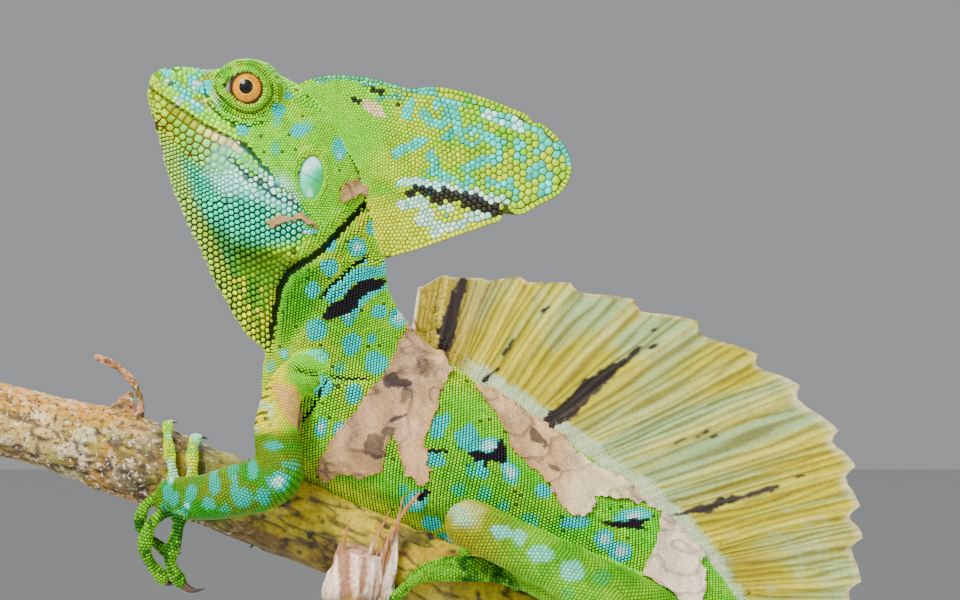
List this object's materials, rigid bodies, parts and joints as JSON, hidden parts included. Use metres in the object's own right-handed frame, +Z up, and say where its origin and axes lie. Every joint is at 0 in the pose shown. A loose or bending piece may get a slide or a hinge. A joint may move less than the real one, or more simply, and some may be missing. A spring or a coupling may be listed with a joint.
{
  "type": "plumed basilisk model",
  "caption": "Life-size still model of a green crested lizard gripping a crooked cut branch, head raised, held over a flat base by upright rods.",
  "frame": {"origin": "middle of the display base's underside", "axes": "+Z up; the lizard faces -X with its left side towards -Y, and its tail runs towards +X"},
  "size_m": [0.6578, 0.132, 0.3654],
  "materials": {
    "head_skin": "small dry scales, satin",
    "body_skin": "small dry scales, satin",
    "tail_skin": "small dry scales, satin",
    "limb_skin": "small dry scales, satin",
    "crest_skin": "thin scaled skin, satin",
    "sail_skin": "thin pleated skin between rays, matte",
    "eye": "wet and glossy",
    "bark": "rough bark with lichen, matte",
    "base_wood": "oiled, satin",
    "rod_steel": "brushed"
  },
  "bodies": {
    "root": {"arm_left_lower": "limb_skin", "arm_left_upper": "limb_skin", "arm_right_lower": "limb_skin", "arm_right_upper": "limb_skin", "crest_front": "crest_skin", "crest_rear": "crest_skin", "eye_left": "eye", "eye_right": "eye", "foot_left": "limb_skin", "foot_right": "limb_skin", "hand_left": "limb_skin", "hand_right": "limb_skin", "head": "head_skin", "leg_left_shin": "limb_skin", "leg_left_thigh": "limb_skin", "leg_right_shin": "limb_skin", "leg_right_thigh": "limb_skin", "neck": "body_skin", "perch_branch": "bark", "sail": "sail_skin", "stand_base": "base_wood", "stand_rod_front": "rod_steel", "stand_rod_rear": "rod_steel", "tail_1": "tail_skin", "tail_2": "tail_skin", "tail_3": "tail_skin", "tail_4": "tail_skin", "tail_5": "tail_skin", "tail_fin": "sail_skin", "torso": "body_skin"}
  },
  "joints": []
}
